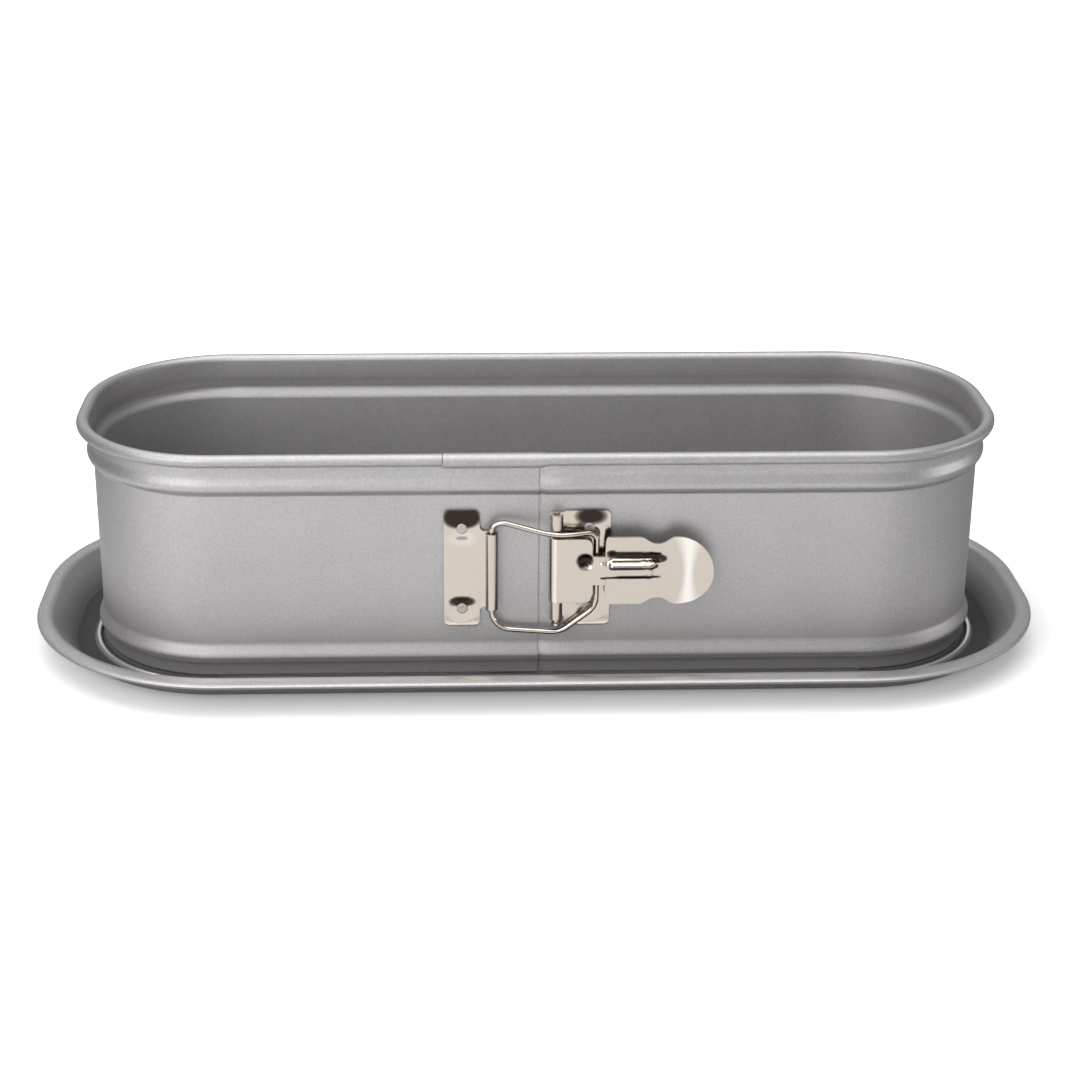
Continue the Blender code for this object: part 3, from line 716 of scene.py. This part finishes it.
plates = {
    "sheet": 0.9 * mm, "face": 1.15 * mm, "half": 20.1 * mm, "corner": 1.7 * mm, "edge": 0.14 * mm,
    "rows": 90, "catchLeft": -31.9 * mm, "catchRight": -20.3 * mm, "columns": 20, "tongueHalf": 13.3 * mm,
    "fillet": 1.6 * mm, "filletSteps": 6, "filletRise": 0.25 * mm, "tongueEnd": (1.9 * mm, 0.3 * mm),
    "knuckleTurn": 285, "knuckleOut": 1.6 * mm, "curlSteps": 20,
    "hingeLeft": 7.2 * mm, "hingeRight": 22.0 * mm, "hingeColumns": 24, "earCorner": 0.4 * mm,
    "upperEar": (14.7 * mm, 19.7 * mm), "lowerEar": (-16.8 * mm, -10.7 * mm), "earSlack": 0.3 * mm,
    "earBend": 1.4 * mm, "earRise": 0.15 * mm, "earTurn": 270,
    "dish": 0.45 * mm, "dishFlat": 1.9 * mm, "dishReach": 3.4 * mm,
    "catchShading": [  # spots of painted shade round the rivets, a negative one a painted highlight, in mm from the rivets' line: along, up, half length, half height, strength
        (0, 18.0, 6.6, 4.4, 1.7), (0, 10.4, 5.2, 2.6, -0.25), (0, -11.5, 4.6, 2.1, 1.5)],
    # the hinge plate's spot of painted shade above its upper rivet, in the same columns
    "hingeShading": [(0.4, 18.2, 5.6, 3.3, 1.3)],
}
rivets = {
    "radius": 1.8 * mm, "proud": 0.4 * mm, "tail": 0.9 * mm, "sides": 28, "round": 0.3 * mm, "roundSteps": 4,
    "insets": [(0.45 * mm, 0.08 * mm), (0.3 * mm, -0.12 * mm), (0.4 * mm, 0.03 * mm)],  # width, sink
    "catchX": -26.0 * mm, "hingeX": 15.2 * mm, "z": 14.0 * mm,
}


def pressDishes(x):
    for z in (rivets["z"], -rivets["z"]):
        press(near(x, z, plates["dishFlat"]), -plates["dish"], plates["dishReach"])


def makeCatchPlate():
    half, face = plates["half"], plates["face"]
    left, right = plates["catchLeft"], plates["catchRight"]
    tongue, fillet = plates["tongueHalf"], plates["fillet"]
    columns = cornerColumns(left, face, half, plates["corner"], -1)
    rightCorner = cornerColumns(right, face, half, plates["corner"], 1)
    columns += evenColumns(columns[-1], rightCorner[0], plates["columns"]) + rightCorner
    for k in range(plates["filletSteps"] + 1):  # the fillets between the plate and its tongue
        share = k / plates["filletSteps"]
        angle = math.radians(90 * share)
        reach = tongue + fillet * (1 - math.sin(angle))
        x = right + 2 * touch + fillet * (1 - math.cos(angle))
        columns.append((x, face + plates["filletRise"] * share, -reach, reach))
    lead, rise = plates["tongueEnd"]
    bore = latch["wireRadius"] + latch["play"]
    columns.append((catchX - lead, face + rise, -tongue, tongue))
    columns.append((catchX, latch["axisOut"] - bore, -tongue, tongue))
    piece = drawStrip("catchPlate", columns, plates["rows"])
    turn(onWall(catchX, latch["axisOut"], 0), -plates["knuckleTurn"], plates["curlSteps"])
    pressDishes(rivets["catchX"])
    outwards(piece, onWall(rivets["catchX"], face, 0), (0, -1, 0))
    plate, knuckle = dishes(plates["catchShading"], rivets["catchX"]), onWall(0, plates["knuckleOut"], 0).y
    return finishPiece(piece, nickel, "ring_left", ["catch_plate"], plates["sheet"],
                       plates["edge"],
                       shading=lambda place, facing: (roundBar if place.y < knuckle else plate)(place, facing))


def makeHingePlate():
    half, face = plates["half"], plates["face"]
    left, right = plates["hingeLeft"], plates["hingeRight"]
    columns = cornerColumns(left, face, half, plates["earCorner"], -1, 3)
    rightCorner = cornerColumns(right, face, half, plates["corner"], 1)
    columns += evenColumns(columns[-1], rightCorner[0], plates["hingeColumns"]) + rightCorner
    piece = drawStrip("hingePlate", columns, plates["rows"])
    bore = latch["pinRadius"] + latch["play"]
    slack, bend, rise = plates["earSlack"], plates["earBend"], plates["earRise"]
    for low, high in (plates["upperEar"], plates["lowerEar"]):
        selectVerts(lambda place: place.x < left + touch
                    and low - slack < place.z - latch["middle"] < high + slack)
        pull((latch["pin"] + bend - left, -rise, 0), 2)
        pull((-bend, face + rise + bore - latch["axisOut"], 0))
        turn(onWall(latch["pin"], latch["axisOut"], 0), plates["earTurn"], plates["curlSteps"])
    pressDishes(rivets["hingeX"])
    outwards(piece, onWall(right - plates["corner"], face, 0), (0, -1, 0))
    return finishPiece(piece, nickel, "ring_right", ["hinge_plate"], plates["sheet"],
                       plates["edge"], shading=dishes(plates["hingeShading"], rivets["hingeX"]))


makeCatchPlate()
makeHingePlate()


def makeRivet(name, x, z, body, node):
    nothingSelected()
    face, tail = plates["face"] - plates["dish"] + rivets["proud"], rivets["tail"]
    bpy.ops.mesh.primitive_cylinder_add(vertices=rivets["sides"], radius=rivets["radius"], depth=face + tail,
                                        location=onWall(x, 0.5 * (face - tail), z),
                                        rotation=(math.radians(90), 0, 0))
    piece = bpy.context.object
    piece.name = piece.data.name = name
    bpy.ops.object.transform_apply(location=True, rotation=True, scale=True)
    editVerts()
    selectVerts(lambda place: place.y < onWall(0, face, 0).y + touch)
    bpy.ops.mesh.bevel(offset=rivets["round"], segments=rivets["roundSteps"], affect="EDGES")
    selectVerts(lambda place: place.y < onWall(0, face, 0).y + 0.1 * touch)
    for width, sink in rivets["insets"]:
        bpy.ops.mesh.inset(thickness=width, depth=sink)
    outwards(piece, onWall(x, face, z), (0, -1, 0))
    return finishPiece(piece, aluminium, body, [node], smoothAngle=50, shading=roundBar)


for word, z in (("Upper", rivets["z"]), ("Lower", -rivets["z"])):
    makeRivet("catchRivet" + word, rivets["catchX"], z, "ring_left", "catch_rivet_" + word.lower())
    makeRivet("hingeRivet" + word, rivets["hingeX"], z, "ring_right", "hinge_rivet_" + word.lower())


pin = {
    "half": 19.6 * mm, "sides": 24, "head": 1.5 * mm, "headNeck": 0.1 * mm, "headSwell": 1.5,
    "round": 0.35 * mm, "roundSteps": 4,
}


def makePivotPin():  # its lower end is upset into a small head
    half, head, neck = pin["half"], pin["head"], pin["headNeck"]
    x, out = latch["pin"], latch["axisOut"]
    nothingSelected()
    bpy.ops.mesh.primitive_cylinder_add(vertices=pin["sides"], radius=latch["pinRadius"],
                                        depth=2 * half - head, location=onWall(x, out, 0.5 * head))
    piece = bpy.context.object
    piece.name = piece.data.name = "pivotPin"
    editVerts()
    selectVerts(lambda place: place.z < latch["middle"])
    pull((0, 0, -neck))
    bpy.ops.transform.resize(value=(pin["headSwell"], pin["headSwell"], 1),
                             center_override=onWall(x, out, -half))
    pull((0, 0, neck - head))
    for side in (1, -1):
        selectVerts(lambda place: side * (place.z - latch["middle"]) > half - touch)
        bpy.ops.mesh.bevel(offset=pin["round"], segments=pin["roundSteps"], affect="EDGES")
    outwards(piece, onWall(x, out + latch["pinRadius"], 0), (0, -1, 0))
    return finishPiece(piece, nickel, "ring_right", ["pivot_pin"], smoothAngle=50,
                       shading=roundBar)


makePivotPin()
print("plates, rivets and pin made")


# The lever: rolled round the pin, necked where the wire seats, ribbed and waisted, its tip turned out.

lever = {
    "sheet": 1.0 * mm, "out": 5.9 * mm, "flatFrom": 0.6 * mm, "blockHalf": 11.1 * mm, "neckHalf": 4.9 * mm,
    "notchBefore": 1.6 * mm, "notchAfter": 2.8 * mm, "notchRound": 2.4 * mm, "slope": 0.25 * mm,
    "handleHalf": 11.7 * mm, "handleLength": 34.9 * mm, "handleRound": 1.3 * mm,
    "waistDepth": 2.3 * mm, "waistFromTip": 18 * mm, "waistHalf": 5.8 * mm, "waistPower": 1.25,
    "bendFromTip": 10.6 * mm, "bendLength": 5 * mm, "tipSlope": 0.2,
    "tipFrom": 0.4, "tipAngles": range(50, 4, -4),
    "rollRadius": 2.7 * mm, "rollLead": 0.5 * mm, "rollTurn": 235, "curlSteps": 18,
    "rows": 72, "step": 0.4 * mm, "stepGap": 0.12 * mm, "edge": 0.18 * mm,
    "presses": [  # along from, to, height from, to, how far out, soft reach
        (22.5, 37.5, 5.3, 6.1, -0.8, 1.9),
        (22.0, 36.0, 2.8, 3.8, 1.3, 1.5),
        (19.0, 35.0, -0.9, 3.0, 0.55, 1.3),
        (13.2, 14.4, 3.6, 4.8, -1.4, 2.8)],
    "shadingSpots": [  # spots of painted shade round the pressings: along, up, half length, half height, strength
        (13.5, 4.5, 2.9, 2.8, 1.6), (22.3, 7.0, 1.9, 1.3, 1.6), (30.2, 5.9, 9.8, 1.15, 2.2),
        (37.4, 5.2, 2.9, 1.5, 1.7), (30.0, -1.2, 8.6, 0.75, 2.0)],
    # painted highlights, only on faces turned to the front: one over the bend near the tip, wider towards its
    # top and bottom, and one along the roll; as strength, along, full within, gone past
    "frontFacing": -0.7, "bendHighlight": (1, 47.1, 0.4, 2.2), "bendHighlightNarrow": 0.9, "bendHighlightWiden": 1.5,
    "rollHighlight": (0.9, 3.9, 0.15, 0.6),
}
notchStart = latch["throw"] - lever["notchBefore"]
notchEnd = latch["throw"] + lever["notchAfter"]
leverLength = notchEnd + lever["handleLength"]


def leverHalf(s):  # half height at a distance from the hinge line
    shoulder = lever["blockHalf"] - lever["notchRound"]
    if s <= notchStart:
        into = max(s - notchStart + lever["notchRound"], 0)
        return shoulder + math.sqrt(max(lever["notchRound"] ** 2 - into ** 2, 0))
    if s < notchStart + lever["slope"]:
        return shoulder + (lever["neckHalf"] - shoulder) * (s - notchStart) / lever["slope"]
    if s <= notchEnd - lever["slope"]:
        return lever["neckHalf"]
    handleRound = lever["handleRound"]
    if s < notchEnd:
        wide = lever["handleHalf"] - handleRound
        return wide + (lever["neckHalf"] - wide) * (notchEnd - s) / lever["slope"]
    half = lever["handleHalf"]
    into = max(notchEnd + handleRound - s, 0)
    half -= handleRound - math.sqrt(handleRound ** 2 - into ** 2)
    fromWaist = abs(s - leverLength + lever["waistFromTip"]) / lever["waistHalf"]
    if fromWaist < 1:
        half -= lever["waistDepth"] * 0.5 * (1 + math.cos(math.pi * fromWaist ** lever["waistPower"]))
    intoEnd = s - (leverLength - lever["handleHalf"])
    if intoEnd > 0:
        half = min(half, math.sqrt(max(lever["handleHalf"] ** 2 - intoEnd ** 2, 0)))
    return half


def leverShading(place, facing):  # painted shade round the pressings, painted highlight over the bend near the tip and over the roll
    shading = dishes(lever["shadingSpots"])(place, facing)
    if facing.y > lever["frontFacing"]:
        return shading
    x, up = place.x / mm, (place.z - latch["middle"]) / lever["handleHalf"]
    strength, middle, full, gone = lever["bendHighlight"]
    wider = lever["bendHighlightNarrow"] + lever["bendHighlightWiden"] * up ** 2
    return shading - stripe(x, strength, middle, full * wider, gone * wider) - stripe(x, *lever["rollHighlight"])


def makeLever():
    places = []
    s = lever["flatFrom"]
    while s < leverLength - lever["handleHalf"] * lever["tipFrom"]:
        places.append(s)
        s += lever["step"]
    for edge in (notchStart, notchStart + lever["slope"], notchEnd - lever["slope"], notchEnd):
        places = [p for p in places if abs(p - edge) > lever["stepGap"]] + [edge]
    places += [leverLength - lever["handleHalf"] * (1 - math.cos(math.radians(angle)))
               for angle in lever["tipAngles"]]
    columns = []
    for s in sorted(places):
        past = max(s - leverLength + lever["bendFromTip"], 0)
        bend = min(past, lever["bendLength"])
        lift = lever["tipSlope"] * (0.5 * bend ** 2 / lever["bendLength"] + past - bend)
        half = leverHalf(s)
        columns.append((latch["pin"] + s, lever["out"] + lift, latch["rise"] - half, latch["rise"] + half))
    piece = drawStrip("latchLever", columns, lever["rows"])
    first = latch["pin"] + lever["flatFrom"]
    selectVerts(lambda place: place.x < first + touch)
    pull((-lever["rollLead"], 0, 0))
    rollCentre = onWall(first - lever["rollLead"], lever["out"] - lever["rollRadius"], 0)
    turn(rollCentre, -lever["rollTurn"], lever["curlSteps"])
    for low, high, bottom, top, depth, reach in lever["presses"]:
        press(between(low * mm, high * mm, bottom * mm, top * mm), depth * mm, reach * mm)
    outwards(piece, onWall(seatX + lever["handleHalf"], lever["out"], -0.5 * lever["handleHalf"]), (0, -1, 0))
    return finishPiece(piece, nickel, "lever", ["lever"], lever["sheet"], lever["edge"],
                       shading=leverShading)


makeLever()


# The bail: one closed loop of wire, drawn as its middle line and given its thickness as a curve.

bail = {
    "bend": 3.4 * mm, "bendSteps": 7, "knuckleHalf": 13.3 * mm, "lead": 3.4 * mm, "top": 13.25 * mm,
    "bottom": -21.9 * mm, "clear": 0.35 * mm, "ramp": 4.3 * mm, "rampDrop": 0.2 * mm, "rampRise": 0.7 * mm,
    "seatCorner": 1.7 * mm, "seatBottom": -12.8 * mm, "cornerPast": 1.2 * mm, "bottomRise": 1.5 * mm,
    "shoulder": (0.7, 1.1), "resolution": 5,
}


def makeBail():
    x, out = latch["pin"], latch["axisOut"]
    overPin = out + latch["pinRadius"] + latch["wireRadius"] + bail["clear"]
    ramped = overPin - bail["rampDrop"]
    half, lead, top, bottom = bail["knuckleHalf"], bail["lead"], bail["top"], bail["bottom"]
    low, high = bail["shoulder"]
    places = [
        onWall(catchX, out, -half - lead),
        onWall(catchX, out, half + low * lead),
        onWall(catchX + lead, out, half + high * lead),
        onWall(x - bail["ramp"], ramped, top + bail["rampRise"]),
        onWall(x, overPin, top),
        onWall(x + bail["ramp"], ramped, top),
        onWall(seatX - bail["seatCorner"], out, top),
        onWall(seatX, out, top - bail["seatCorner"]),
        onWall(seatX, out, bail["seatBottom"]),
        onWall(x + bail["cornerPast"], out, bottom),
        onWall(catchX + lead, out, bottom + bail["bottomRise"]),
    ]
    line = roundedLine(places, bail["bend"], bail["bendSteps"], closed=True)
    piece = drawLine("bailWire", line)
    ends = (line[0], line[-1])
    selectVerts(lambda place: min((place - end).length for end in ends) < 0.1 * touch)
    bpy.ops.mesh.edge_face_add()
    nothingSelected()
    piece.select_set(True)
    bpy.context.view_layer.objects.active = piece
    bpy.ops.object.convert(target="CURVE")
    piece.data.bevel_depth = latch["wireRadius"]
    piece.data.bevel_resolution = bail["resolution"]
    bpy.ops.object.convert(target="MESH")
    piece = bpy.context.object
    editVerts()
    outwards(piece, onWall(catchX + lead, latch["front"], bottom + bail["bottomRise"]), (0, -1, 0))
    return finishPiece(piece, nickel, "bail", ["bail_wire"], smoothAngle=80, shading=roundBar)


makeBail()
print("latch made")


# Studio: pale floor, soft lights, and the photograph's camera.

studio = {
    "target": Vector((-1.0 * mm, 0, 32.1 * mm)), "distance": 780 * mm,
    "down": 22.2, "side": -2.35, "roll": 0.43, "lens": 76.0, "sensor": 36,
    "worldOnMatt": 0.34, "worldInGloss": 0.55, "worldSides": 0.35, "worldTurn": [(0.25, 0), (0.85, 1)],
    "floorSize": 12, "floorDrop": 0.05 * mm, "floorPale": colour(0.87, 0.87, 0.87),
    "floorShaded": colour(0.30, 0.30, 0.30), "shadedAside": 0.3, "shadedBack": 0.8,
    "shaded": [(0.08, 0), (0.28, 1)], "floorSeen": 0.16, "floorInGloss": 0.04, "horizonStraight": 0.105,
    "horizon": [(0.058, 0), (0.063, 0.12), (0.072, 0.19), (0.09, 0.38), (0.12, 0.65), (0.26, 1)],
}
softboxes = [  # name, place, what it is aimed at, size in metres, watts
    ("softboxTop", (-0.1, -0.12, 1.15), (0, 0, 0), (1.6, 1.1), 11.5),
    ("softboxFront", (-0.48, -0.62, 0.42), (-0.1, -0.08, 0.02), (0.8, 0.55), 3.6),
    ("softboxRight", (0.8, -0.15, 0.09), (0.15, 0, 0.04), (0.5, 0.15), 0.8),
]


def makeFloor():  # pale to the camera and to light; in reflections it is painted darker towards the sides and back as painted shade, and given a faint painted glow elsewhere; seen from the camera it fades into the white background further off
    nothingSelected()
    bpy.ops.mesh.primitive_plane_add(size=studio["floorSize"], location=(0, 0, -studio["floorDrop"]))
    floor = bpy.context.object
    floor.name = "floor"
    finish = Finish("paleFloor")
    path = finish.node("ShaderNodeLightPath")
    seen, glossy = finish.signal(path, "Is Camera Ray"), finish.signal(path, "Is Glossy Ray")
    axes = finish.node("ShaderNodeSeparateXYZ", None, {"Vector": finish.place})
    x, y = finish.signal(axes, "X"), finish.signal(axes, "Y")
    aside = finish.value("ShaderNodeMath", {"operation": "ABSOLUTE"}, {0: x})
    shadedWay = aside + studio["shadedAside"] * x + studio["shadedBack"] * y
    shaded = glossy * finish.ramp(shadedWay, *studio["shaded"])
    beyond = finish.value("ShaderNodeMath", {"operation": "MAXIMUM"},
                          {0: aside - studio["horizonStraight"], 1: 0.0})
    outline = finish.value("ShaderNodeCombineXYZ", None, {"X": beyond, "Y": y})
    distance = finish.value("ShaderNodeVectorMath", {"operation": "LENGTH"}, {0: outline}, output="Value")
    far = finish.ramp(distance, *studio["horizon"])
    finish.surface(**{
        "Base Color": finish.mix(shaded, studio["floorPale"], studio["floorShaded"]),
        "Roughness": 0.9, "Specular IOR Level": 0.1, "Emission Color": colour(1, 1, 1),
        "Emission Strength": ((studio["floorSeen"] + (1 - studio["floorSeen"]) * far) * seen
                              + studio["floorInGloss"] * (1 - shaded) * glossy),
    })
    floor.data.materials.append(finish.material)


def makeLight(name, place, aim, size, power):
    nothingSelected()
    bpy.ops.object.light_add(type="AREA", location=place)
    lamp = bpy.context.object
    lamp.name = name
    lamp.data.shape = "RECTANGLE"
    lamp.data.size, lamp.data.size_y = size
    lamp.data.energy = power
    lamp.rotation_euler = (Vector(aim) - Vector(place)).to_track_quat("-Z", "Y").to_euler()


def makeWorld():  # white to the camera, and darker towards the sides for everything else
    world = bpy.data.worlds.new("studio")
    bpy.context.scene.world = world
    world.use_nodes = True
    bench = NodeBench(world.node_tree)
    path = bench.node("ShaderNodeLightPath")
    seen, glossy = bench.signal(path, "Is Camera Ray"), bench.signal(path, "Is Glossy Ray")
    matt, gloss = studio["worldOnMatt"], studio["worldInGloss"]
    axes = bench.node("ShaderNodeSeparateXYZ", None, {"Vector": bench.value("ShaderNodeTexCoord")})
    aside = bench.value("ShaderNodeMath", {"operation": "ABSOLUTE"}, {0: bench.signal(axes, "X")})
    openness = 1 - (1 - studio["worldSides"]) * bench.ramp(aside, *studio["worldTurn"])
    strength = seen + (1 - seen) * openness * (matt + (gloss - matt) * glossy)
    glow = bench.value("ShaderNodeBackground", None, {"Color": colour(1, 1, 1), "Strength": strength})
    bench.node("ShaderNodeOutputWorld", None, {"Surface": glow})


def makeCamera():
    down, side, roll = (math.radians(studio[key]) for key in ("down", "side", "roll"))
    back = Vector((math.sin(side) * math.cos(down), -math.cos(side) * math.cos(down), math.sin(down)))
    right = Vector((0, 0, 1)).cross(back).normalized()
    up = back.cross(right)
    turnedRight = right * math.cos(roll) + up * math.sin(roll)
    turnedUp = up * math.cos(roll) - right * math.sin(roll)
    bpy.ops.object.camera_add(location=studio["target"] + studio["distance"] * back)
    camera = bpy.context.object
    camera.rotation_euler = Matrix((turnedRight, turnedUp, back)).transposed().to_euler()
    camera.data.lens = studio["lens"]
    camera.data.sensor_width = studio["sensor"]
    bpy.context.scene.camera = camera


makeFloor()
makeWorld()
for softbox in softboxes:
    makeLight(*softbox)
makeCamera()
bpy.context.scene.view_settings.view_transform = "Standard"
print("studio made")
